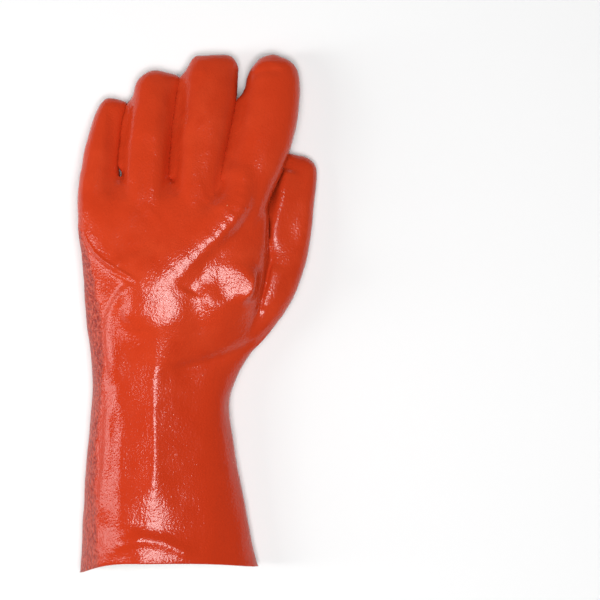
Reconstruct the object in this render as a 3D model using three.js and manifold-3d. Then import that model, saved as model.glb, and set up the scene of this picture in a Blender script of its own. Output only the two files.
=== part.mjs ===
// A PVC coated work glove for the left hand, lying palm down with its fingers along +Y and its thumb at +X.
// It is one dipped piece: a hollow wall with an open cuff, a hand and five digits. Millimetres, +Z up.
import * as THREE from "three";
import Module from "manifold-3d";

const wall = 1.6;
const mouthReach = 3; // how far the form of the hollow stands out of the cuff's mouth
const restSag = 1.2; // how much of the underside is pressed flat where it rests

// Lengths along the glove, from the middle of the rim.
const cuffLength = 97; // rim to the narrowest part of the wrist
const handLength = 139; // wrist to the web between the fingers
const fingerLength = 137.5; // the middle finger's, from its root inside the hand, seen from above
const webRound = 26; // length of the rounded end of the hand behind the web

// Widths and depths of the tube at the places that shape it.
const rimWidth = 112;
const wristWidth = 86;
const heelWidth = 107;
const palmWidth = 114.5;
const knuckleWidth = 118;
const fingerWidth = 30;
const rimDepth = 47;
const wristDepth = 45;
const palmDepth = 48;
const knuckleDepth = 38;

// The rim was cut straight while the cuff was flat, so its side corners hang lower than its middle.
const cornerDropLeft = 10;
const cornerDropRight = 6;
const cornerPower = 2.7;
const rimLip = 1.6; // how far the top of the rim turns up
const rimLipReach = 14;

// How far the hollow of the hand arches over the table.
const palmArch = 3;
const knuckleArch = 9;

const ringPoints = 44;
const cuffSpacing = 10;
const handSpacing = 5.5;
const digitPoints = 14;
const digitSpacing = 7;
const capRings = 3;
const capTurn = 0.95; // share of a quarter turn that the rings of a rounded end go through
const outlineSteps = 200; // fineness of the curve that a ring's points are spaced along
const headingStep = 0.01; // share of a digit's length that its heading is taken over

const wristY = cuffLength;
const webY = cuffLength + handLength;

const between = (a, b, share) => a + (b - a) * share;
const power = (value, exponent) => Math.sign(value) * Math.abs(value) ** exponent;

// Sections of cuff and hand, from the rim to the web. left: share of the width that lies left of the
// wrist's middle. under: height of the underside. edge: height of the side edges as a share of the depth.
// apex: place of the highest line as a share of the width. crest and flank: exponents of the back, where
// less is more like a roof. sole: the same for the underside, where more is flatter.
const sections = [
  {
    y: 0, width: rimWidth, left: 0.455, depth: rimDepth, under: -restSag,
    edge: 0.26, apex: -0.07, crest: 1.75, flank: 1.55, sole: 2.6,
  },
  {
    y: 0.36 * cuffLength, width: between(rimWidth, wristWidth, 0.4), left: 0.478,
    depth: between(rimDepth, wristDepth, 0.5), under: -restSag,
    edge: 0.3, apex: -0.1, crest: 1.75, flank: 1.7, sole: 2.7,
  },
  {
    y: 0.7 * cuffLength, width: between(rimWidth, wristWidth, 0.74), left: 0.496,
    depth: wristDepth, under: -restSag,
    edge: 0.34, apex: -0.12, crest: 1.8, flank: 1.8, sole: 2.7,
  },
  {
    y: wristY, width: wristWidth, left: 0.496, depth: wristDepth, under: -restSag,
    edge: 0.38, apex: -0.12, crest: 1.85, flank: 1.9, sole: 2.6,
  },
  {
    y: wristY + 0.13 * handLength, width: between(wristWidth, heelWidth, 0.27), left: 0.465,
    depth: between(wristDepth, palmDepth, 0.2), under: -restSag,
    edge: 0.4, apex: -0.06, crest: 2, flank: 2, sole: 2.6,
  },
  {
    y: wristY + 0.24 * handLength, width: between(wristWidth, heelWidth, 0.75), left: 0.43,
    depth: between(wristDepth, palmDepth, 0.5), under: -restSag,
    edge: 0.42, apex: 0, crest: 2.1, flank: 2.1, sole: 2.5,
  },
  {
    y: wristY + 0.36 * handLength, width: heelWidth, left: 0.428,
    depth: palmDepth, under: between(-restSag, palmArch, 0.2),
    edge: 0.45, apex: 0.05, crest: 2.2, flank: 2.1, sole: 2.4,
  },
  {
    y: wristY + 0.6 * handLength, width: palmWidth, left: 0.415, depth: palmDepth, under: palmArch,
    edge: 0.48, apex: 0.08, crest: 2.2, flank: 2.1, sole: 2.4,
  },
  {
    y: wristY + 0.84 * handLength, width: knuckleWidth, left: 0.425,
    depth: between(palmDepth, knuckleDepth, 0.85), under: between(palmArch, knuckleArch, 0.7),
    edge: 0.5, apex: 0.08, crest: 2.4, flank: 2.2, sole: 2.5,
  },
  {
    y: webY, width: 0.86 * knuckleWidth, left: 0.39, depth: 0.84 * knuckleDepth, under: 1.3 * knuckleArch,
    edge: 0.5, apex: 0.08, crest: 2.5, flank: 2.2, sole: 2.6,
  },
];

// Digits. across: the root's place, as a share of the knuckles' width from the wrist's middle. back: how
// far behind the web the root sits inside the hand, as a share of the hand's length. height: of the
// root's middle, as a share of the knuckles' middle height. reach: length, as a share of the finger
// length. Its equal bones head towards the thumb's side by the angles in yaw, in degrees. widths and
// depths: at the ends of the bones, from the root to the tip, as shares of the finger width and of the
// knuckles' depth. curl: how late the digit comes down to the table.
const digits = [
  {
    name: "little", across: -0.305, back: 0.43, height: 0.89, reach: 0.8, yaw: [-2.5, -2.5, 3, 8, 15],
    widths: [0.47, 0.74, 0.9, 0.82, 0.73, 0.64], depths: [0.47, 0.79, 0.79, 0.71, 0.61, 0.53], curl: 2.6,
  },
  {
    name: "ring", across: -0.083, back: 0.43, height: 1, reach: 0.925, yaw: [2, 2, 2.5, 6, 15],
    widths: [0.53, 0.87, 0.97, 0.97, 0.93, 0.87], depths: [0.53, 0.9, 0.87, 0.76, 0.66, 0.58], curl: 2.8,
  },
  {
    name: "middle", across: 0.178, back: 0.43, height: 1.02, reach: 1, yaw: [3, 4, 6, 7.5, 4.5],
    widths: [0.53, 0.87, 1, 1.08, 1.15, 1.07], depths: [0.53, 0.9, 0.87, 0.76, 0.68, 0.61], curl: 2.9,
  },
  {
    name: "index", across: 0.375, back: 0.43, height: 0.965, reach: 1.01, yaw: [10, 12, 18, 12, 4],
    widths: [0.47, 0.83, 1.1, 1.22, 1.2, 1.05], depths: [0.47, 0.79, 0.82, 0.74, 0.68, 0.61], curl: 2.8,
  },
  {
    name: "thumb", across: 0.305, back: 0.85, height: 0.68, reach: 1.06, yaw: [36, 34, 17, 8, 9],
    widths: [0.47, 0.83, 0.93, 1, 0.97, 0.83], depths: [0.37, 0.61, 0.64, 0.59, 0.54, 0.47], curl: 1.3,
  },
];
const capShare = 0.45; // length of a digit's rounded end, as a share of its tip's width
const capPower = 2.8;
const digitRoundness = 2.3;

// Folds of the back of the hand: ridges, and dents where rise is negative. rise and reach are shares of
// the fold's rise and reach. Each follows a line through the points in path, given as shares: across the
// palm's width from the wrist's middle, and along the hand from wrist to web.
const foldRise = 3;
const foldReach = 10;
const folds = [
  {
    name: "knuckle ridge", rise: 0.9, reach: 1,
    path: [[0.44, 0.9], [0.36, 0.79], [0.22, 0.68], [0.08, 0.58], [0.02, 0.4]],
  },
  {
    name: "valley under the ridge", rise: -1, reach: 1,
    path: [[0.5, 0.77], [0.28, 0.62], [0.19, 0.5], [0.17, 0.36]],
  },
  { name: "thumb side mound", rise: 1.1, reach: 1.5, path: [[0.32, 0.46], [0.46, 0.5]] },
  {
    name: "little finger side fold", rise: 0.5, reach: 0.9,
    path: [[-0.42, 0.77], [-0.32, 0.64], [-0.14, 0.55]],
  },
  { name: "little finger side hollow", rise: -1.3, reach: 1.6, path: [[-0.38, 0.53], [-0.28, 0.4]] },
  {
    name: "crease over the thumb's root", rise: -1.3, reach: 1.3,
    path: [[0.08, 0.12], [0.32, 0.18], [0.62, 0.3]],
  },
  { name: "wrist ridge", rise: 0.5, reach: 0.9, path: [[0.03, 0.22], [-0.07, 0.08], [-0.08, -0.15]] },
  { name: "little to ring valley", rise: -0.7, reach: 0.8, path: [[-0.2, 1.02], [-0.22, 0.84]] },
  {
    name: "ring to middle valley", rise: -0.8, reach: 0.8,
    path: [[0.07, 1.02], [0.03, 0.85], [-0.04, 0.72]],
  },
  { name: "middle to index valley", rise: -0.5, reach: 0.8, path: [[0.33, 1.02], [0.32, 0.9]] },
];

// The value of a column of the section table at y, on a smooth curve through its rows.
function column(name, y) {
  const rows = sections;
  let i = 0;
  while (i < rows.length - 2 && y > rows[i + 1].y) i++;
  const span = rows[i + 1].y - rows[i].y;
  const slope = (k) => {
    const a = rows[Math.max(0, k - 1)];
    const b = rows[Math.min(rows.length - 1, k + 1)];
    return ((b[name] - a[name]) / (b.y - a.y)) * span;
  };
  const t = (y - rows[i].y) / span;
  const [p, q] = [rows[i][name], rows[i + 1][name]];
  const [m, n] = [slope(i), slope(i + 1)];
  if (t < 0) return p + m * t;
  return (
    (2 * t ** 3 - 3 * t ** 2 + 1) * p +
    (t ** 3 - 2 * t ** 2 + t) * m +
    (3 * t ** 2 - 2 * t ** 3) * q +
    (t ** 3 - t ** 2) * n
  );
}

// Distance in the plan view from a point to a line through several points.
function distanceToPath(x, y, path) {
  let nearest = Infinity;
  for (let i = 0; i + 1 < path.length; i++) {
    const [ax, ay] = path[i];
    const [bx, by] = path[i + 1];
    const along = ((x - ax) * (bx - ax) + (y - ay) * (by - ay)) / ((bx - ax) ** 2 + (by - ay) ** 2);
    const t = Math.min(1, Math.max(0, along));
    nearest = Math.min(nearest, Math.hypot(x - ax - t * (bx - ax), y - ay - t * (by - ay)));
  }
  return nearest;
}

const foldLines = folds.map(({ rise, reach, path }) => ({
  rise: rise * foldRise,
  reach: reach * foldReach,
  path: path.map(([across, along]) => [across * palmWidth, wristY + along * handLength]),
}));

// Height that the folds add to the back at a place in the plan view.
function foldHeight(x, y) {
  return foldLines.reduce((sum, { rise, reach, path }) => {
    return sum + rise * Math.exp(-((distanceToPath(x, y, path) / reach) ** 2));
  }, 0);
}

// Points at equal steps along an open line of points, its ends included.
function evenly(points, count) {
  const lengths = [0];
  for (let i = 1; i < points.length; i++) lengths.push(lengths[i - 1] + points[i].distanceTo(points[i - 1]));
  const made = [];
  let i = 0;
  for (let k = 0; k < count; k++) {
    const at = (lengths.at(-1) * k) / (count - 1);
    while (i < points.length - 2 && lengths[i + 1] < at) i++;
    made.push(points[i].clone().lerp(points[i + 1], (at - lengths[i]) / (lengths[i + 1] - lengths[i] || 1)));
  }
  return made;
}

// One closed section of the cuff and hand at y, taken in by inset and flattened by squeeze,
// counterclockwise seen from the rim: the back from the thumb's side to the little finger's, then the
// underside.
function handRing(y, inset, squeeze) {
  const get = (name) => column(name, Math.min(y, webY));
  const width = get("width");
  const left = -width * get("left") + inset;
  const right = width * (1 - get("left")) - inset;
  const apex = width * get("apex");
  const under = get("under") + inset;
  const depth = get("depth");
  const edge = get("under") + depth * get("edge");
  const top = get("under") + depth - inset;
  const half = (way, peak, across, upright) => {
    const points = [];
    for (let k = 0; k <= outlineSteps; k++) {
      const angle = (Math.PI * k) / outlineSteps;
      const s = way * power(Math.cos(angle), 2 / across);
      const x = apex + Math.abs(s) * ((s > 0 ? right : left) - apex);
      const z = edge + (peak - edge) * Math.abs(Math.sin(angle)) ** (2 / upright);
      points.push(new THREE.Vector3(x, 0, z));
    }
    return evenly(points, ringPoints / 2 + 1).slice(0, -1);
  };
  const ring = [...half(1, top, get("crest"), get("flank")), ...half(-1, under, get("sole"), get("sole"))];
  const cuffShare = Math.max(0, 1 - y / cuffLength);
  const lip = rimLip * Math.exp(-((y / rimLipReach) ** 2));
  return ring.map((p) => {
    const s = (p.x - apex) / (p.x > apex ? right - apex : apex - left);
    const rise = Math.max(0, (p.z - edge) / (top - edge));
    const drop = p.x > apex ? cornerDropRight : cornerDropLeft;
    const z = p.z + (foldHeight(p.x, y) + lip) * Math.sqrt(rise);
    const back = drop * Math.abs(s) ** cornerPower * cuffShare ** 2;
    return new THREE.Vector3(p.x, y - back, edge + (z - edge) * squeeze);
  });
}

// Rings of the cuff and hand, with its rounded end between the fingers.
function handRings(inset) {
  const start = inset > 0 ? -mouthReach : 0;
  const end = webY - webRound;
  const cuffCount = Math.round((wristY - start) / cuffSpacing);
  const handCount = Math.round((end - wristY) / handSpacing);
  const rings = [];
  for (let i = 0; i < cuffCount; i++) rings.push(handRing(between(start, wristY, i / cuffCount), inset, 1));
  for (let i = 0; i <= handCount; i++) rings.push(handRing(between(wristY, end, i / handCount), inset, 1));
  for (let i = 1; i <= capRings; i++) {
    const angle = (capTurn * Math.PI * i) / (2 * capRings);
    rings.push(handRing(end + (webRound - inset) * Math.sin(angle), inset, Math.cos(angle)));
  }
  return rings;
}

// Rings of a digit, whose tip comes down to rest on the table.
function digitRings(digit, inset) {
  const bones = digit.yaw.length;
  const reach = digit.reach * fingerLength;
  const knots = [new THREE.Vector3(digit.across * knuckleWidth, webY - digit.back * handLength, 0)];
  digit.yaw.forEach((degrees) => {
    const yaw = THREE.MathUtils.degToRad(degrees);
    const step = new THREE.Vector3(Math.sin(yaw), Math.cos(yaw), 0).multiplyScalar(reach / bones);
    knots.push(knots.at(-1).clone().add(step));
  });
  const plan = new THREE.CatmullRomCurve3(knots);
  const sizes = new THREE.SplineCurve(
    digit.widths.map((width, i) => new THREE.Vector2(width * fingerWidth, digit.depths[i] * knuckleDepth)),
  );
  const rootHeight = digit.height * (knuckleArch + knuckleDepth / 2);
  const tipHeight = (digit.depths.at(-1) * knuckleDepth) / 2 - restSag;
  const place = (t) => plan.getPointAt(t).setZ(between(rootHeight, tipHeight, t ** digit.curl));
  const cap = capShare * digit.widths.at(-1) * fingerWidth;
  const straight = 1 - cap / reach;
  const ring = (t, shrink) => {
    const p = place(t);
    const ahead = place(Math.min(1, t + headingStep)).sub(place(Math.max(0, t - headingStep))).normalize();
    const side = new THREE.Vector3().crossVectors(ahead, new THREE.Vector3(0, 0, 1)).normalize();
    const up = new THREE.Vector3().crossVectors(side, ahead);
    const size = sizes.getPoint(t);
    const halfWidth = (size.x / 2 - inset) * shrink;
    const halfDepth = (size.y / 2 - inset) * shrink;
    const points = [];
    for (let k = 0; k < digitPoints; k++) {
      const angle = (2 * Math.PI * k) / digitPoints;
      const a = power(Math.cos(angle), 2 / digitRoundness) * halfWidth;
      const b = power(Math.sin(angle), 2 / digitRoundness) * halfDepth;
      points.push(p.clone().addScaledVector(side, a).addScaledVector(up, b));
    }
    return points;
  };
  const rings = [];
  const count = Math.round((straight * reach) / digitSpacing);
  for (let i = 0; i <= count; i++) rings.push(ring((straight * i) / count, 1));
  for (let i = 1; i <= capRings; i++) {
    const u = Math.sin((capTurn * Math.PI * i) / (2 * capRings));
    rings.push(ring(straight + ((cap - inset) / reach) * u, (1 - u ** capPower) ** (1 / capPower)));
  }
  return rings;
}

// A closed body through rings of equally many points, each end closed by a fan. Rings run
// counterclockwise seen from behind, where the first ring is.
function loft(rings) {
  const around = rings[0].length;
  const middle = (ring) => ring.reduce((sum, p) => sum.add(p), new THREE.Vector3()).divideScalar(around);
  const points = [...rings.flat(), middle(rings[0]), middle(rings.at(-1))];
  const index = [];
  for (let k = 0; k < around; k++) {
    const next = (k + 1) % around;
    for (let i = 0; i + 1 < rings.length; i++) {
      const [a, b] = [i * around + k, i * around + next];
      const [c, d] = [a + around, b + around];
      const rising = points[a].distanceTo(points[d]) < points[b].distanceTo(points[c]);
      index.push(...(rising ? [a, d, b, a, c, d] : [a, c, b, b, c, d]));
    }
    const last = (rings.length - 1) * around;
    index.push(points.length - 2, k, next, points.length - 1, last + next, last + k);
  }
  return new THREE.BufferGeometry().setFromPoints(points).setIndex(index);
}

const wasm = await Module();
wasm.setup();

function solidOf(geometry) {
  const vertProperties = geometry.getAttribute("position").array;
  const triVerts = new Uint32Array(geometry.index.array);
  return new wasm.Manifold(new wasm.Mesh({ numProp: 3, vertProperties, triVerts }));
}

function geometryOf(solid) {
  const mesh = solid.getMesh();
  return new THREE.BufferGeometry()
    .setAttribute("position", new THREE.BufferAttribute(mesh.vertProperties, 3))
    .setIndex(new THREE.BufferAttribute(mesh.triVerts, 1));
}

// The cuff, hand and digits as one solid, taken in by inset and flat where it rests.
function form(inset) {
  const hand = solidOf(loft(handRings(inset)));
  const whole = digits.reduce((sum, digit) => sum.add(solidOf(loft(digitRings(digit, inset)))), hand);
  return whole.trimByPlane([0, 0, 1], inset);
}

function makeGlove() {
  const geometry = geometryOf(form(0).subtract(form(wall)));
  geometry.computeBoundingBox();
  const { min, max } = geometry.boundingBox;
  geometry.translate(-(min.x + max.x) / 2, -(min.y + max.y) / 2, -min.z);
  const coating = new THREE.MeshStandardMaterial({ color: 0xc83a1c, roughness: 0.35, metalness: 0 });
  const glove = new THREE.Mesh(geometry, coating);
  glove.name = "glove";
  return glove;
}

const part = new THREE.Group();
part.add(makeGlove());

export default part;
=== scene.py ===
"""A PVC coated work glove lying palm down on a pale floor, seen from straight above.

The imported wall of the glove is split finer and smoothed. Its back is raised and pressed in along tables of
crests, folds and swellings, the fingers lean on each other, and the inside follows the outside.
"""

import math

import bmesh
import bpy
import numpy as np
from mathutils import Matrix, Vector, kdtree, noise
from mathutils.bvhtree import BVHTree


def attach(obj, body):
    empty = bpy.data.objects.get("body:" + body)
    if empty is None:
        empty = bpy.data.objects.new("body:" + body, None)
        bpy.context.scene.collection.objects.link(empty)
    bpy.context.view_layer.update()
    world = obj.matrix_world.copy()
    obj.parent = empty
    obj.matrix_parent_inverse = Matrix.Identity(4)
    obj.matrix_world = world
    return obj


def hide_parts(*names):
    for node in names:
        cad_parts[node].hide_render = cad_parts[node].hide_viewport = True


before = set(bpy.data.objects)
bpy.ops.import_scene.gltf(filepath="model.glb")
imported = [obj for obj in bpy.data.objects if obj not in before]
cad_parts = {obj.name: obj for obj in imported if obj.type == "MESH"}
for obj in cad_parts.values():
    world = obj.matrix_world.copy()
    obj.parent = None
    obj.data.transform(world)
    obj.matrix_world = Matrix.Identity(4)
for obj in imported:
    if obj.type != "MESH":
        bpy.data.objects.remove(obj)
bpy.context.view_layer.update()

MM = 0.001

# Camera: straight above the middle of the photograph's view, which is VIEW_WIDTH wide at the glove's
# mid height.
VIEW_WIDTH = 372 * MM
VIEW_MIDDLE = (63.7 * MM, 8.5 * MM)
MID_HEIGHT = 22 * MM
LENS = 120
SENSOR = 36
CLIP_NEAR = 0.01
CLIP_FAR = 10

camera_data = bpy.data.cameras.new("camera")
camera_data.lens = LENS
camera_data.sensor_width = SENSOR
camera_data.clip_start = CLIP_NEAR
camera_data.clip_end = CLIP_FAR
camera = bpy.data.objects.new("camera", camera_data)
bpy.context.scene.collection.objects.link(camera)
distance = VIEW_WIDTH * LENS / SENSOR
camera.location = (VIEW_MIDDLE[0], VIEW_MIDDLE[1], MID_HEIGHT + distance)
bpy.context.scene.camera = camera


# Crests of the back in millimetres: name, slope and reach to the left and to the right of the line,
# height of the beads on it, shares of its length over which it fades in and out, and knots with x, y,
# height and roundness.
CRESTS = [
    ("knuckle ridge", 0.34, 0.29, 7, 14, 0.11, 0.1, 0.22,
     [(30.7, 95.3, 39.8, 1.2), (30.1, 87.2, 41.8, 1.4), (29.6, 78.5, 44, 1.6), (27.3, 68.6, 47, 4),
      (22.5, 60.7, 49.2, 14), (15.8, 53.3, 50.3, 11), (5.6, 43.6, 51, 5.5), (-3.5, 35.7, 51.7, 7),
      (-10.1, 30.3, 52, 9), (-15.5, 25.4, 52.2, 17), (-19.8, 19.4, 52.3, 24), (-21.6, 12.1, 52.4, 28)]),
    ("brow of the side plane", 0.1, 0.4, 9, 6, 0, 0.25, 0.3,
     [(-46.2, 3.6, 47.4, 3), (-40.7, 1.8, 48.3, 3), (-33.3, -0.6, 49.8, 4), (-25.3, -3.6, 51, 6),
      (-16.2, -7.2, 51.2, 8)]),
    ("main crest", 0.33, 0.3, 25, 20, 0, 0.08, 0,
     [(-14.9, 28.5, 52, 14), (-19.8, 22.4, 52.3, 24), (-22.2, 14.5, 52.4, 30), (-22.2, 6.1, 52.2, 30),
      (-21.3, -1.2, 51.8, 26), (-21.1, -6.6, 51.1, 18), (-21.1, -10.9, 49.9, 12),
      (-21.9, -17, 48.3, 8), (-22.6, -24.3, 46.6, 5), (-23.6, -31.7, 45.2, 3), (-24.5, -39, 44.8, 1.8),
      (-24.8, -46.3, 44.9, 1.6), (-24.8, -58.4, 45, 1.1), (-24.8, -76.7, 45, 0.8),
      (-24.8, -91.9, 45, 0.8), (-25.4, -101, 45, 1.5), (-26.4, -110.2, 45, 5),
      (-27.6, -119.3, 44.9, 11), (-28.2, -127.8, 44.6, 16)]),
    ("wrist flanks", 0.33, 0.32, 38, 26, 0.1, 0.3, 0.15,
     [(-23.2, -24.3, 46.4, 4), (-23.6, -31.7, 45.2, 3), (-24.5, -39, 44.8, 1.8),
      (-24.8, -46.3, 44.9, 1.6), (-24.8, -58.4, 45, 0.8), (-24.8, -76.7, 45, 0.5),
      (-24.8, -91.9, 45, 0.6), (-25.4, -101, 45, 1.5), (-26.4, -110.2, 45, 5),
      (-27.6, -119.3, 44.9, 11), (-28.2, -131.5, 44.5, 16)]),
    ("thumb side mound", 0.0, 0.2, 12, 9, 0, 0.45, 0.15,
     [(5.3, 7.9, 46, 10), (9, 10.9, 46.2, 10), (13.9, 14.6, 46.3, 10), (20.5, 17, 46.4, 8),
      (27.8, 16.4, 46.1, 8), (33.3, 13.4, 45.6, 8), (36.9, 8.5, 44.9, 8)]),
    ("thumb crest", 0.34, 0.3, 14, 4.5, 0, 0.05, 0.3,
     [(56.9, 90.4, 20.5, 0.6), (55, 82.3, 22.2, 1), (52.6, 71, 23.6, 1.2), (50.1, 61.1, 24.4, 1.4),
      (48.2, 50.6, 25, 2.2), (48.9, 39.4, 25.5, 3.2), (52, 29.5, 25.8, 4)]),
]
KNOT_HEIGHT, KNOT_ROUNDNESS = 2, 3  # columns of the knots
BEAD_SPACING = 6.2
BEAD_REACH = 4
# A crest moves all of the skin that is up to the first height away from it, and none from the second on.
CREST_WINDOW = (6, 10)

# Folds and dents in millimetres: name, rise, reach to the left and to the right of the line, and the line.
FOLDS = [
    ("little finger side fold", 0.9, 1.0, 1.0,
     [(-69.8, 50.8), (-65.2, 42.1), (-59.4, 35.3), (-50, 28.6), (-34.6, 20)]),
    ("groove beside it", -0.5, 1.2, 1.2,
     [(-69.3, 46.5), (-64.7, 38.5), (-58.9, 31.7), (-50.7, 25.5), (-37, 18.2)]),
    ("edge of the side plane", 1.8, 8, 2.5,
     [(-35.8, 18.2), (-45.1, 12.1), (-51, 3), (-54.4, -6.2), (-53.8, -20.3), (-51.9, -31.9),
      (-49.3, -45.3)]),
    ("valley beside the ridge", -0.4, 5, 5,
     [(18.1, 40.7), (7.9, 31.6), (1.8, 20.6), (-0.1, 8.5)]),
    ("crease over the thumb", -2.0, 4, 3.5,
     [(55.6, -3.9), (45.1, -12.5), (28, -21), (9.8, -28.2), (-5.9, -32.4), (-16.8, -34.8)]),
    ("thumb root", 1.8, 9, 1.2,
     [(47.7, 31.9), (45.8, 23.9), (44, 15.9), (42.1, 9.1), (40.3, 1.1)]),
    ("web line by the ring finger", 0.35, 2, 3,
     [(-10.8, 75.7), (-14.3, 64.6), (-21.5, 56), (-29.3, 47.4)]),
    ("slope to the little finger", -1.9, 9, 9,
     [(-26.4, 63.3), (-36.1, 54.7), (-43.3, 45), (-39.5, 31.6)]),
    ("hollow under the wedge", -0.8, 6, 6,
     [(-46.9, 31.6), (-37, 25.5)]),
    ("little finger flute", -1.1, 2.5, 4,
     [(-52.2, 129.4), (-51.9, 114.8), (-52, 100.8), (-53, 83.4), (-53.3, 72.2)]),
    ("little finger streak", 0.4, 2, 2,
     [(-56.3, 126.7), (-57.2, 110.3), (-58.7, 94.6)]),
    ("ring finger facet", -1.6, 4, 3,
     [(-15.7, 138.7), (-15.1, 119.4), (-15.6, 100.7), (-16, 87), (-18.1, 72)]),
    ("ring finger streak", 0.4, 3, 3,
     [(-22.8, 135.2), (-24.7, 112.9), (-23.8, 94.2)]),
    ("middle finger line", 0.45, 1.8, 3,
     [(4, 124.7), (-2.6, 119.6), (-7.5, 112.8), (-9.8, 101.6)]),
    ("middle finger root", -1.4, 8, 8,
     [(-0.1, 120.1), (2.6, 100.1), (5.8, 81.6), (10.2, 62)]),
    ("knuckle rim", 0.35, 2, 2,
     [(1.5, 84.1), (5.2, 71.8), (12.6, 65.7), (21.1, 66.9)]),
    ("ring finger root", -1.4, 8, 8,
     [(-30.7, 112.7), (-31.7, 94.1), (-32.7, 75.6), (-33.7, 59.7)]),
    ("index tip fold", -0.6, 1.5, 2.5,
     [(31.9, 147.4), (37.6, 149.1), (45, 150.3), (54.4, 149.8)]),
    ("index tip crease top", 0.5, 2, 2,
     [(33.7, 152), (43.7, 155.8), (53.7, 153.3)]),
    ("side streak", 0.45, 2.4, 2.4,
     [(-52.6, -43.5), (-54.5, -71.1), (-58.4, -108.1), (-64.1, -148.2)]),
    ("side hollow", -0.5, 3, 3,
     [(-57.1, -52.8), (-60.3, -95.9), (-65.5, -132.9)]),
    ("side hollow above", -0.5, 3, 3,
     [(-48.2, -52.7), (-50.1, -95.5), (-53.9, -143.4)]),
    ("side shoulder", 1.3, 12, 5,
     [(-46.6, -39), (-45.4, -70.7), (-47.3, -101.3), (-50.5, -131.9), (-54.8, -154)]),
    ("rim bead", 1.3, 3.2, 4,
     [(0.2, -150.2), (-7.6, -145.1), (-18.5, -140.1), (-31.8, -137.5), (-43, -140.2), (-51.2, -144.9)]),
]
# Shares of a fold's length over which its ends fade, and of its rise that is left there.
FOLD_FADE = 0.18
FOLD_END_RISE = 0.2
# Folds with a reach under SHARP_REACH get finer faces within SHARP_BAND of their line.
SHARP_REACH = 1.5
SHARP_BAND = 2

# How far past its ends a line still acts, in millimetres, and how near its ends a share counts as the end.
PAST_END = 4
END_SHARE = 0.001

# Small swellings: name, middle, radius and amount, in millimetres.
SWELLS = [
    ("little finger corner", (-44.3, 132.1, 14), 4, 1.8),
    ("little finger corner", (-56.1, 132.7, 14), 3, 0.8),
    ("ring finger corner", (-11.1, 146.9, 15), 5, 2.2),
    ("ring finger shoulder", (-39.7, 143.1, 16), 8, 2.2),
    ("middle finger bump", (-1.8, 158.8, 15), 4, 1.2),
    ("middle finger notch", (7, 160.6, 15), 3, -0.8),
    ("middle finger corner", (17.6, 161.9, 15), 5, 1.2),
    ("middle finger corner", (23.8, 156.9, 15), 6, 2.6),
    ("index tip", (46.2, 160.8, 14), 6, 1.2),
    ("index shoulder", (35, 155.8, 14), 5, -1.2),
    ("index shoulder", (58.1, 156.4, 14), 4, -0.6),
    ("thumb corner", (56.8, 97.4, 10), 4, 1.5),
    ("thumb tip", (65.6, 98.2, 8), 4, 0.6),
    ("side nub", (-73.9, 68.1, 20), 2.2, 1.4),
    ("side nub", (-70, 85.3, 24), 2.5, 0.6),
    ("middle tip knob", (3.9, 149.8, 28), 2.2, 0.6),
]

# Slack in the skin, slow and fine: amount, size of the waves and offset of the pattern, in millimetres.
SLACK = [(0.45, 17, (0, 0, 0)), (0.15, 7, (9, 3, 5))]


def smoothstep(low, high, value):
    t = np.clip((value - low) / (high - low), 0, 1)
    return t * t * (3 - 2 * t)


def curve_through(knots, steps=6):
    """Points on a smooth line through the knots."""
    k = [np.array(p, float) for p in knots]
    k = [2 * k[0] - k[1], *k, 2 * k[-1] - k[-2]]
    made = []
    for i in range(1, len(k) - 2):
        for j in range(steps):
            t = j / steps
            made.append(
                0.5
                * (
                    2 * k[i]
                    + (k[i + 1] - k[i - 1]) * t
                    + (2 * k[i - 1] - 5 * k[i] + 4 * k[i + 1] - k[i + 2]) * t**2
                    + (3 * k[i] - k[i - 1] - 3 * k[i + 1] + k[i + 2]) * t**3
                )
            )
    made.append(k[-2])
    return np.array(made)


def from_line(knots, xy):
    """For each point: signed distance to a smooth line, more than 0 on its left, the share of its length
    beside the point, and how far past its ends the point lies."""
    line = curve_through(knots)
    lengths = np.linalg.norm(np.diff(line, axis=0), axis=1)
    total = lengths.sum()
    best = np.full(len(xy), np.inf)
    side = np.zeros(len(xy))
    share = np.zeros(len(xy))
    past = np.zeros(len(xy))
    done = 0
    for a, b, length in zip(line[:-1], line[1:], lengths):
        free = ((xy - a) @ (b - a)) / length**2
        along = np.clip(free, 0, 1)
        away = xy - a - along[:, None] * (b - a)
        far = np.hypot(away[:, 0], away[:, 1])
        across = ((b - a)[0] * away[:, 1] - (b - a)[1] * away[:, 0]) / length
        nearer = far < best
        best = np.where(nearer, far, best)
        side = np.where(nearer, across, side)
        share = np.where(nearer, (done + along * length) / total, share)
        past = np.where(nearer, np.abs(free - along) * length, past)
        done += length
    beside = (share > END_SHARE) & (share < 1 - END_SHARE)
    past[beside] = 0
    side = np.where(beside, np.copysign(best, side), side)
    return side, share, past


def knot_distances(knots):
    """How far along the knots each of them lies."""
    spots = np.array([k[:2] for k in knots], float)
    return np.r_[0, np.cumsum(np.linalg.norm(np.diff(spots, axis=0), axis=1))]


def along_knots(knots, share, column):
    """A column of the knots, read at shares of the line's length."""
    steps = knot_distances(knots)
    return np.interp(share, steps / steps[-1], [k[column] for k in knots])


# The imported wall, with its outside, rim and inside told apart by the material index of their faces.
OUTSIDE, RIM, INSIDE = 0, 1, 2
MERGE_WITHIN = 0.05 * MM
RIM_DEPTH = 14 * MM
RIM_FACING = -0.72


def connected_groups(faces):
    """The faces in sets that are joined by shared edges."""
    left_over = set(faces)
    groups = []
    while left_over:
        group = set()
        front = [left_over.pop()]
        while front:
            face = front.pop()
            group.add(face)
            for edge in face.edges:
                for other in edge.link_faces:
                    if other in left_over:
                        left_over.discard(other)
                        front.append(other)
        groups.append(group)
    return groups


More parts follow.
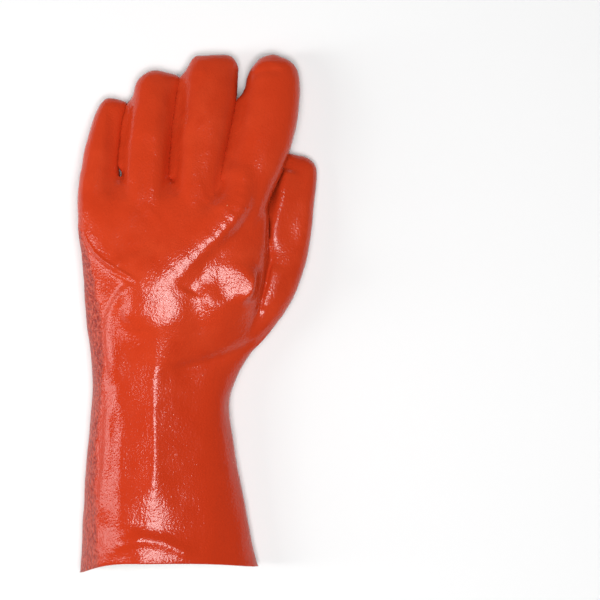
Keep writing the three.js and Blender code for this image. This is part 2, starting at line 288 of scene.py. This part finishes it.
def tell_sides_apart():
    """The rim's faces look out of the cuff's mouth, and of the rest the outside is the larger group."""
    rim_end = min(v.co.y for v in shell.verts) + RIM_DEPTH
    rim_faces = {
        f
        for f in shell.faces
        if f.normal.y < RIM_FACING and all(v.co.y < rim_end for v in f.verts)
    }
    for face in rim_faces:
        face.material_index = RIM
    groups = connected_groups(set(shell.faces) - rim_faces)
    groups.sort(key=lambda g: -sum(f.calc_area() for f in g))
    for index, group in enumerate(groups):
        for face in group:
            face.material_index = OUTSIDE if index == 0 else INSIDE


shell = bmesh.new()
shell.from_mesh(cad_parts["glove"].data)
bmesh.ops.remove_doubles(shell, verts=shell.verts, dist=MERGE_WITHIN)
shell.normal_update()
tell_sides_apart()

# Finer faces: the longest edge anywhere, outside, on the back, and where a sharp fold runs.
EDGE_ANYWHERE = 5 * MM
EDGE_OUTSIDE = 2.8 * MM
EDGE_ON_BACK = 1.55 * MM
EDGE_AT_FOLD = 0.9 * MM
SPLIT_ROUNDS = 6
BACK_FACING = 0.05


def split_long_edges(longest, wanted):
    """Halves the edges of the wanted faces until none is longer than this."""
    for _ in range(SPLIT_ROUNDS):
        edges = [
            e
            for e in shell.edges
            if e.calc_length() > longest and any(wanted(f) for f in e.link_faces)
        ]
        if not edges:
            break
        bmesh.ops.subdivide_edges(shell, edges=edges, cuts=1)
        many_sided = [f for f in shell.faces if len(f.verts) > 3]
        bmesh.ops.triangulate(shell, faces=many_sided)


def on_back(face):
    return face.material_index == OUTSIDE and face.normal.z > BACK_FACING


def mark_sharp_folds(mark):
    """Sets the mark on the faces of the back that are near the line of a sharp fold."""
    faces = [f for f in shell.faces if on_back(f)]
    middles = np.array([f.calc_center_median()[:2] for f in faces]) / MM
    near_fold = np.zeros(len(middles), bool)
    for _, _, left, right, line in FOLDS:
        if min(left, right) < SHARP_REACH:
            side, _, past = from_line(line, middles)
            near_fold |= np.hypot(side, past) < SHARP_BAND
    for face, chosen in zip(faces, near_fold):
        face[mark] = int(chosen)


split_long_edges(EDGE_ANYWHERE, lambda f: True)
split_long_edges(EDGE_OUTSIDE, lambda f: f.material_index != INSIDE)
split_long_edges(EDGE_ON_BACK, on_back)
sharp = shell.faces.layers.int.new("sharp")
mark_sharp_folds(sharp)
split_long_edges(EDGE_AT_FOLD, lambda f: f[sharp])
shell.faces.layers.int.remove(sharp)

# The mesh as arrays: a point that isn't wholly outside or inside counts as rim.
shell.verts.index_update()
kind_of = np.zeros(len(shell.verts), int)
for v in shell.verts:
    kinds = {f.material_index for f in v.link_faces}
    kind_of[v.index] = min(kinds) if len(kinds) == 1 else RIM
points = np.array([v.co for v in shell.verts])
pairs = np.array([(e.verts[0].index, e.verts[1].index) for e in shell.edges])
outer = (kind_of == OUTSIDE).astype(float)


def neighbour_mean(values, active_pairs, count):
    total = np.zeros_like(values)
    for axis in range(values.shape[1]):
        total[:, axis] = np.bincount(
            active_pairs[:, 0], values[active_pairs[:, 1], axis], len(values)
        ) + np.bincount(active_pairs[:, 1], values[active_pairs[:, 0], axis], len(values))
    return total / np.maximum(count, 1)[:, None]


def relax(values, free, rounds, pull, push=0.0):
    """Moves the free points towards the mean of their neighbours, and back by push to keep their volume."""
    used = pairs[(kind_of[pairs[:, 0]] != INSIDE) & (kind_of[pairs[:, 1]] != INSIDE)]
    count = np.bincount(used[:, 0], minlength=len(values)) + np.bincount(
        used[:, 1], minlength=len(values)
    )
    for _ in range(rounds):
        for step in (pull, -push):
            if step:
                values = values + step * free[:, None] * (
                    neighbour_mean(values, used, count) - values
                )
    return values


def put(values):
    """Moves the shell's points there, and gives back their normals."""
    for v, p in zip(shell.verts, values):
        v.co = p
    shell.normal_update()
    return np.array([v.normal for v in shell.verts])


start = points.copy()
points = relax(points, outer, rounds=26, pull=0.6, push=0.33)
normals = put(points)

# The relief of the back acts on points that face up and that a view from above reaches.
SEEN_FACING = 0.02
SEEN_LIFT = 0.3
TOP_FACING = (0.12, 0.5)


def seen_from_above(points, normals):
    """1 for each point of the outside or rim that is open upwards, and 0 for the others."""
    faces = BVHTree.FromBMesh(shell)
    up = Vector((0, 0, 1))
    seen = np.zeros(len(points))
    for i in np.flatnonzero((kind_of != INSIDE) & (normals[:, 2] > SEEN_FACING)):
        place = Vector(points[i]) + Vector(normals[i]) * SEEN_LIFT * MM
        seen[i] = faces.ray_cast(place, up)[0] is None
    return seen


def raise_crests(height, xy, top_share):
    """The heights, pulled towards each crest: a rounded ridge that falls off on both sides of its line."""
    full_within, none_from = CREST_WINDOW
    for _, slope_left, slope_right, reach_left, reach_right, bead, fade_in, fade_out, knots in CRESTS:
        side, share, past = from_line([k[:2] for k in knots], xy)
        slope = np.where(side > 0, slope_left, slope_right)
        reach = np.where(side > 0, reach_left, reach_right)
        top = along_knots(knots, share, KNOT_HEIGHT)
        roundness = along_knots(knots, share, KNOT_ROUNDNESS)
        target = top - slope * (np.hypot(side, roundness) - roundness)
        turn = share * knot_distances(knots)[-1] * 2 * math.pi / BEAD_SPACING
        target += bead * np.cos(turn) * np.exp(-((side / BEAD_REACH) ** 2))
        weight = np.exp(-((side / reach) ** 4) - (past / PAST_END) ** 2) * top_share
        weight *= smoothstep(none_from, full_within, np.abs(target - height))
        # Starting just below 0, a fade over no length leaves the end whole.
        weight *= smoothstep(-END_SHARE, fade_in, share) * smoothstep(-END_SHARE, fade_out, 1 - share)
        height = height + weight * (target - height)
    return height


def raise_folds(height, xy, top_share):
    """The heights, raised or pressed in along each fold."""
    for _, rise, left, right, line in FOLDS:
        side, share, past = from_line(line, xy)
        reach = np.where(side > 0, left, right)
        ends = smoothstep(0, FOLD_FADE, share) * smoothstep(0, FOLD_FADE, 1 - share)
        shape = np.exp(-((side / reach) ** 2) - (past / PAST_END) ** 2)
        height = height + rise * shape * (FOLD_END_RISE + (1 - FOLD_END_RISE) * ends) * top_share
    return height


def slack_at(points):
    """How far the slack and the swellings move each outside point outwards, in millimetres."""
    slack = np.zeros(len(points))
    for i in np.flatnonzero(kind_of == OUTSIDE):
        p = Vector(points[i]) / MM
        slack[i] = sum(
            amount * noise.noise(p / size + Vector(offset)) for amount, size, offset in SLACK
        )
    for _, middle, radius, amount in SWELLS:
        away = np.linalg.norm(points / MM - np.array(middle), axis=1)
        slack += amount * np.exp(-((away / radius) ** 2))
    return slack


top_share = smoothstep(*TOP_FACING, normals[:, 2]) * seen_from_above(points, normals)
height = raise_crests(points[:, 2] / MM, points[:, :2] / MM, top_share)
height = raise_folds(height, points[:, :2] / MM, top_share)
slack = slack_at(points)
points[:, 2] = np.where(outer > 0, height * MM, points[:, 2])
points = points + normals * slack[:, None] * MM * outer[:, None]
points = relax(points, outer, rounds=2, pull=0.5)
normals = put(points)

# The left side of each finger leans on its neighbour where the gap is small. Lengths are in millimetres.
FINGERS_ABOVE_Y = 60
FINGERS_BELOW_X = 45
LEFT_FACING = -0.4
FACES_BACK = -0.2
LEAN_LIFT = 0.05
LEAN_RANGE = 7
LEAN_OVERLAP = 0.3
LEAN_FADES_FROM = 4.8
LEAN_FADES_OVER = 1.4
# Middle and radius of the spots that stay free: the gap at the little finger's root, and the notch
# between the tips of the middle and the index finger.
FREE_SPOTS = [((-47, 85), 5), ((27, 142), 8)]
SPREAD_ROUNDS = 20
SPREAD_KEEPS = 0.98
TURN_BAND = 0.35


def lean_at(points, normals):
    """How far each point leans over, in millimetres, spread softly round the points that face a gap."""
    faces = BVHTree.FromBMesh(shell)
    press = np.zeros(len(points))
    leaning = (
        (normals[:, 0] < LEFT_FACING)
        & (points[:, 1] > FINGERS_ABOVE_Y * MM)
        & (points[:, 0] < FINGERS_BELOW_X * MM)
    )
    for i in np.flatnonzero((kind_of == OUTSIDE) & leaning):
        way = Vector(normals[i])
        place = Vector(points[i]) + way * LEAN_LIFT * MM
        spot, facing, _, gap = faces.ray_cast(place, way, LEAN_RANGE * MM)
        if spot is not None and facing.dot(way) < FACES_BACK:
            gap = gap / MM
            fade = min(1, max(0, (gap - LEAN_FADES_FROM) / LEAN_FADES_OVER))
            press[i] = (gap + LEAN_OVERLAP) * (1 - fade)
    for spot, radius in FREE_SPOTS:
        away = np.linalg.norm(points[:, :2] / MM - np.array(spot), axis=1)
        press *= 1 - np.exp(-((away / radius) ** 4))
    for _ in range(SPREAD_ROUNDS):
        spread = relax(press[:, None], outer, rounds=1, pull=1.0)[:, 0]
        press = np.maximum(press, SPREAD_KEEPS * spread)
    return press


press = lean_at(points, normals)
points[:, 0] -= press * smoothstep(TURN_BAND, -TURN_BAND, normals[:, 0]) * MM * outer
points = relax(points, outer * np.clip(press, 0, 1), rounds=2, pull=0.5)
points[:, 2] = np.maximum(points[:, 2], 0)

# The inside follows the outside, so the wall keeps about its thickness.
FOLLOWED_POINTS = 6
FOLLOW_SOFTENING = 0.2 * MM


def follow_outside(points):
    """Moves each inside point as the outside points that were nearest to it at the start have moved."""
    shift = points - start
    outside = np.flatnonzero(kind_of == OUTSIDE)
    nearest = kdtree.KDTree(len(outside))
    for i in outside:
        nearest.insert(start[i], int(i))
    nearest.balance()
    for i in np.flatnonzero(kind_of == INSIDE):
        found = nearest.find_n(start[i], FOLLOWED_POINTS)
        weights = np.array([1 / (d + FOLLOW_SOFTENING) for _, _, d in found])
        points[i] = start[i] + weights @ shift[[k for _, k, _ in found]] / weights.sum()


follow_outside(points)
normals = put(points)

# The rough coating of the palm side lies left of this line, and wherever the skin turns under. The line has
# y and x in millimetres, from the cuff to the tips.
ROUGH_EDGE = [
    (-150, -60), (-115, -62), (-78, -61.5), (-53, -58.5), (-22, -56.5), (-4, -58.5), (27, -63.5),
    (39, -66.5), (49, -70), (60, -76), (180, -80),
]
ROUGH_EDGE_BAND = 1.2
ROUGH_FACING = (-0.02, -0.3)
WANDER_SIZE = 5
WANDER_LAYER = 1.7
WANDER_ACROSS = 1.5
WANDER_TURN = 0.12


def roughness_at(points, normals):
    """0 on the smooth back, 1 on the rough palm side, with a wandering border."""
    xy = points[:, :2] / MM
    edge_y, edge_x = np.array(ROUGH_EDGE, float).T
    border = np.interp(xy[:, 1], edge_y, edge_x)
    wander = np.array(
        [noise.noise(Vector((p[0] / WANDER_SIZE, p[1] / WANDER_SIZE, WANDER_LAYER))) for p in xy]
    )
    rough = np.maximum(
        smoothstep(*ROUGH_FACING, normals[:, 2] + WANDER_TURN * wander),
        smoothstep(ROUGH_EDGE_BAND, -ROUGH_EDGE_BAND, xy[:, 0] - border - WANDER_ACROSS * wander),
    )
    rough[kind_of == INSIDE] = 0
    return rough


rough = roughness_at(points, normals)
mesh = bpy.data.meshes.new("glove_skin")
shell.to_mesh(mesh)
shell.free()
skin = bpy.data.objects.new("glove_skin", mesh)
bpy.context.scene.collection.objects.link(skin)
rough_values = mesh.attributes.new("rough", "FLOAT", "POINT").data
rough_values.foreach_set("value", rough.astype(np.float32))
for polygon in mesh.polygons:
    polygon.use_smooth = True


def new_material(name):
    material = bpy.data.materials.new(name)
    material.use_nodes = True
    tree = material.node_tree
    return material, tree, tree.nodes["Principled BSDF"]


def node(tree, kind, **values):
    """A new node, with its inputs set by name and its other settings by keyword."""
    made = tree.nodes.new(kind)
    for key, value in values.items():
        if key in made.inputs:
            made.inputs[key].default_value = value
        else:
            setattr(made, key, value)
    return made


def object_place(tree):
    return node(tree, "ShaderNodeTexCoord").outputs["Object"]


def axis_of(tree, place, axis):
    split = node(tree, "ShaderNodeSeparateXYZ")
    tree.links.new(place, split.inputs[0])
    return split.outputs[axis]


def blend_colours(tree, share, first, second):
    """The first colour where the share is 0, the second where it is 1."""
    mix = node(tree, "ShaderNodeMix", data_type="RGBA")
    tree.links.new(share, mix.inputs["Factor"])
    # The colour sockets share their names with sockets of other kinds, so they are taken by number.
    for socket, value in ((mix.inputs[6], first), (mix.inputs[7], second)):
        if isinstance(value, tuple):
            socket.default_value = (*value, 1)
        else:
            tree.links.new(value, socket)
    return mix.outputs[2]


def reckon(tree, operation, *terms):
    """The result of a sum with numbers and sockets. MULTIPLY_ADD is first times second plus third."""
    made = node(tree, "ShaderNodeMath", operation=operation)
    for socket, value in zip(made.inputs, terms):
        if isinstance(value, (int, float)):
            socket.default_value = value
        else:
            tree.links.new(value, socket)
    return made.outputs[0]


def ranged(tree, value, start, end, at_start=0.0, at_end=1.0):
    """A number that goes from at_start to at_end while the value goes from start to end."""
    made = node(tree, "ShaderNodeMapRange")
    tree.links.new(value, made.inputs["Value"])
    limits = (("From Min", start), ("From Max", end), ("To Min", at_start), ("To Max", at_end))
    for key, number in limits:
        made.inputs[key].default_value = number
    return made.outputs["Result"]


def texture_of(tree, place, kind, size, **values):
    """A texture node at that place, with its pattern scaled to size millimetres."""
    made = node(tree, kind, Scale=1 / (size * MM), **values)
    tree.links.new(place, made.inputs["Vector"])
    return made


def noise_of(tree, place, size, detail=2.0, roughness=0.5, stretch=(1, 1, 1)):
    """Noise whose grains are about size millimetres, longer along an axis with a smaller stretch."""
    mapping = node(tree, "ShaderNodeMapping", Scale=stretch)
    tree.links.new(place, mapping.inputs["Vector"])
    stretched = mapping.outputs["Vector"]
    made = texture_of(
        tree, stretched, "ShaderNodeTexNoise", size, Detail=detail, Roughness=roughness
    )
    return made.outputs["Fac"]


def add_bump(tree, shader, relief, strength, depth):
    """Lets the relief, of that depth in millimetres, bend the shader's normals."""
    bump = node(tree, "ShaderNodeBump", Strength=strength, Distance=depth * MM)
    tree.links.new(relief, bump.inputs["Height"])
    tree.links.new(bump.outputs["Normal"], shader.inputs["Normal"])


# Colours, as linear red, green and blue.
BACK_DEEP = (0.54, 0.040, 0.010)
BACK_BRIGHT = (0.60, 0.051, 0.014)
BACK_CLOUD = (0.58, 0.044, 0.011)
BACK_AT_CUFF = (0.53, 0.035, 0.008)
# The palm side's crinkles are painted darker in their hollows and paler and pinker on their tops: painted
# shade and painted sheen, beside their bump.
PALM_CRINKLE_SHADE = (0.30, 0.016, 0.008)
PALM_CRINKLE_SHEEN = (0.62, 0.10, 0.06)
# Pale specks: dust specks whose pale colour is partly a painted glint.
SPECK_DUST_AND_GLINT = (0.85, 0.42, 0.22)
RIM_DEEP = (0.50, 0.030, 0.005)
RIM_BRIGHT = (0.66, 0.09, 0.035)
RIM_KNIT = (0.72, 0.50, 0.34)
KNIT_DEEP = (0.50, 0.43, 0.33)
KNIT_PALE = (0.72, 0.67, 0.56)
KNIT_STAIN = (0.62, 0.30, 0.20)
FLOOR_WHITE = (0.92, 0.92, 0.92)

# Where along the glove the back takes on the cuff's colour, in metres, and how much of it.
CUFF_COLOUR_FROM = 0.0
CUFF_COLOUR_FULL = -0.07
CUFF_COLOUR_SHARE = 0.7

COATING_IOR = 1.5
COATING_SPECULAR = 0.28
# Roughness of the back at the low and the high end of its mottle, and what the palm side adds.
BACK_ROUGHNESS = (0.17, 0.22)
PALM_ROUGHNESS = 0.16
RIM_ROUGHNESS = 0.5
KNIT_ROUGHNESS = 0.9
FLOOR_ROUGHNESS = 0.9

# Relief of the coating, in millimetres.
GRAIN_HEIGHT = 0.145
PORE_HEIGHT = 0.10
WEAVE_HEIGHT = 0.1
STREAK_HEIGHT = 0.08
SPECK_HEIGHT = 0.15
CRINKLE_HEIGHT = 1.8
PEBBLE_HEIGHT = -0.5
PALM_LIFT = 0.15

# Distances from a speck's middle, as shares of the pattern's size: from where its colour begins to where it
# is full, and from the foot of its bump to the top.
SPECK_EDGE = (0.022, 0.012)
SPECK_SLOPE = (0.05, 0.0)


def coating_colour(tree, place, rough_share, mottle, crinkle, speck):
    back = blend_colours(tree, ranged(tree, mottle, start=0.35, end=0.65), BACK_DEEP, BACK_BRIGHT)
    cloud = noise_of(tree, place, size=45)
    back = blend_colours(tree, ranged(tree, cloud, start=0.4, end=0.65), back, BACK_CLOUD)
    along = axis_of(tree, place, "Y")
    cuff = ranged(tree, along, CUFF_COLOUR_FROM, CUFF_COLOUR_FULL, at_end=CUFF_COLOUR_SHARE)
    back = blend_colours(tree, cuff, back, BACK_AT_CUFF)
    # The palm side's colour follows the crinkles' height: painted shade in the hollows, painted pinkish
    # sheen on the tops.
    palm = blend_colours(tree, ranged(tree, crinkle, start=0.35, end=0.68), PALM_CRINKLE_SHADE, PALM_CRINKLE_SHEEN)
    both = blend_colours(tree, rough_share, back, palm)
    # Pale specks, partly dust and partly a painted glint.
    return blend_colours(tree, ranged(tree, speck, *SPECK_EDGE), both, SPECK_DUST_AND_GLINT)


def coating_relief(tree, place, rough_share, crinkle, speck):
    """Fine grain, weave and specks everywhere, and crinkles and pebbles where the coating is rough."""
    grain = noise_of(tree, place, size=1.6, detail=1)
    pores = noise_of(tree, place, size=1.0, detail=0)
    weave = noise_of(tree, place, size=2.4, stretch=(1, 0.45, 1))
    streaks = noise_of(tree, place, size=3.0, detail=1, stretch=(1, 0.12, 1))
    fine = reckon(tree, "MULTIPLY", weave, WEAVE_HEIGHT)
    fine = reckon(tree, "MULTIPLY_ADD", grain, GRAIN_HEIGHT, fine)
    fine = reckon(tree, "MULTIPLY_ADD", pores, PORE_HEIGHT, fine)
    fine = reckon(tree, "MULTIPLY_ADD", streaks, STREAK_HEIGHT, fine)
    dot = reckon(tree, "MULTIPLY", ranged(tree, speck, *SPECK_SLOPE), SPECK_HEIGHT)
    fine = reckon(tree, "ADD", fine, dot)
    pebble = texture_of(
        tree, place, "ShaderNodeTexVoronoi", size=2.6, feature="SMOOTH_F1", Smoothness=0.6
    )
    coarse = reckon(tree, "MULTIPLY", crinkle, CRINKLE_HEIGHT)
    coarse = reckon(tree, "MULTIPLY_ADD", pebble.outputs["Distance"], PEBBLE_HEIGHT, coarse)
    coarse = reckon(tree, "ADD", coarse, PALM_LIFT)
    coarse = reckon(tree, "MULTIPLY", coarse, rough_share)
    return reckon(tree, "ADD", fine, coarse)


def make_coating():
    """PVC coating: smooth and glossy with a fine grain on the back, rough and crinkled on the palm side,
    where the crinkles carry painted shade in their hollows and a painted pinkish sheen on their tops.
    """
    material, tree, shader = new_material("coating")
    place = object_place(tree)
    rough_share = node(tree, "ShaderNodeAttribute", attribute_name="rough").outputs["Fac"]
    mottle = noise_of(tree, place, size=14, detail=3)
    crinkle = noise_of(tree, place, size=1.7, roughness=0.6, stretch=(1, 0.7, 1))
    speck = texture_of(tree, place, "ShaderNodeTexVoronoi", size=16).outputs["Distance"]
    colour = coating_colour(tree, place, rough_share, mottle, crinkle, speck)
    tree.links.new(colour, shader.inputs["Base Color"])
    roughness = ranged(tree, mottle, 0.3, 0.7, *BACK_ROUGHNESS)
    roughness = reckon(tree, "MULTIPLY_ADD", rough_share, PALM_ROUGHNESS, roughness)
    tree.links.new(roughness, shader.inputs["Roughness"])
    relief = coating_relief(tree, place, rough_share, crinkle, speck)
    add_bump(tree, shader, relief, strength=1.0, depth=1)
    shader.inputs["IOR"].default_value = COATING_IOR
    shader.inputs["Specular IOR Level"].default_value = COATING_SPECULAR
    return material


def make_rim():
    """The cut edge of the rim: the coating, with the cream knit showing through in patches."""
    material, tree, shader = new_material("rim")
    place = object_place(tree)
    fibre = noise_of(tree, place, size=0.9, detail=3, roughness=0.6)
    patchy = noise_of(tree, place, size=5)
    core = blend_colours(tree, ranged(tree, fibre, start=0.35, end=0.65), RIM_DEEP, RIM_BRIGHT)
    patches = ranged(tree, patchy, start=0.55, end=0.75, at_end=0.5)
    core = blend_colours(tree, patches, core, RIM_KNIT)
    tree.links.new(core, shader.inputs["Base Color"])
    shader.inputs["Roughness"].default_value = RIM_ROUGHNESS
    add_bump(tree, shader, fibre, strength=0.8, depth=0.3)
    return material


def make_lining():
    """The lining: cream knit in fine ribs along the glove, a little stained by the coating."""
    material, tree, shader = new_material("lining")
    place = object_place(tree)
    wave = "ShaderNodeTexWave"
    ribs = texture_of(tree, place, wave, size=4.4, Distortion=1.5, Detail=1, bands_direction="X")
    rows = texture_of(tree, place, wave, size=3.2, Distortion=2.5, Detail=1, bands_direction="Y")
    fluff = noise_of(tree, place, size=1.2, detail=3, roughness=0.6)
    stain = noise_of(tree, place, size=22)
    cream = blend_colours(tree, ribs.outputs["Fac"], KNIT_DEEP, KNIT_PALE)
    stains = ranged(tree, stain, start=0.5, end=0.75, at_end=0.45)
    cream = blend_colours(tree, stains, cream, KNIT_STAIN)
    tree.links.new(cream, shader.inputs["Base Color"])
    shader.inputs["Roughness"].default_value = KNIT_ROUGHNESS
    knit = reckon(tree, "MULTIPLY_ADD", rows.outputs["Fac"], 0.5, ribs.outputs["Fac"])
    knit = reckon(tree, "MULTIPLY_ADD", fluff, 0.8, knit)
    add_bump(tree, shader, knit, strength=1.0, depth=0.4)
    return material


# In the order of OUTSIDE, RIM and INSIDE.
mesh.materials.append(make_coating())
mesh.materials.append(make_rim())
mesh.materials.append(make_lining())

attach(skin, "root")
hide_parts("glove")

# Floor, a little below the glove.
FLOOR_SIZE = 6
FLOOR_HEIGHT = -0.0002

bpy.ops.mesh.primitive_plane_add(size=FLOOR_SIZE, location=(0, 0, FLOOR_HEIGHT))
floor = bpy.context.object
floor.name = "floor"
floor_material, _, floor_shader = new_material("floor")
floor_shader.inputs["Base Color"].default_value = (*FLOOR_WHITE, 1)
floor_shader.inputs["Roughness"].default_value = FLOOR_ROUGHNESS
floor.data.materials.append(floor_material)

# Lights: name, place, width and height in metres, and power in watts. Each one aims at the origin.
LIGHTS = [
    ("left_softbox", (-1.2, -0.1, 0.42), (0.3, 0.8), 4.8),
    ("left_fill", (-1.1, -0.1, 0.95), (0.3, 0.5), 3),
    ("key_light", (0.1, -0.16, 1.75), (0.7, 0.7), 29),
]

for name, place, size, power in LIGHTS:
    light_data = bpy.data.lights.new(name, "AREA")
    light_data.shape = "RECTANGLE"
    light_data.size, light_data.size_y = size
    light_data.energy = power
    light = bpy.data.objects.new(name, light_data)
    bpy.context.scene.collection.objects.link(light)
    light.location = place
    light.rotation_euler = (-Vector(place)).to_track_quat("-Z", "Y").to_euler()

# Soft surroundings, dark overhead so that the top of the coating keeps its colour. The strength changes
# between two heights of the direction looked in.
SKY_HEIGHTS = (0.2, 0.8)
SKY_STRENGTHS = (0.1, 0.03)

world = bpy.data.worlds.new("world")
bpy.context.scene.world = world
world.use_nodes = True
sky = world.node_tree
direction = node(sky, "ShaderNodeTexCoord").outputs["Generated"]
strength = ranged(sky, axis_of(sky, direction, "Z"), *SKY_HEIGHTS, *SKY_STRENGTHS)
background = sky.nodes["Background"]
background.inputs["Color"].default_value = (1, 1, 1, 1)
sky.links.new(strength, background.inputs["Strength"])
bpy.context.scene.view_settings.view_transform = "Standard"
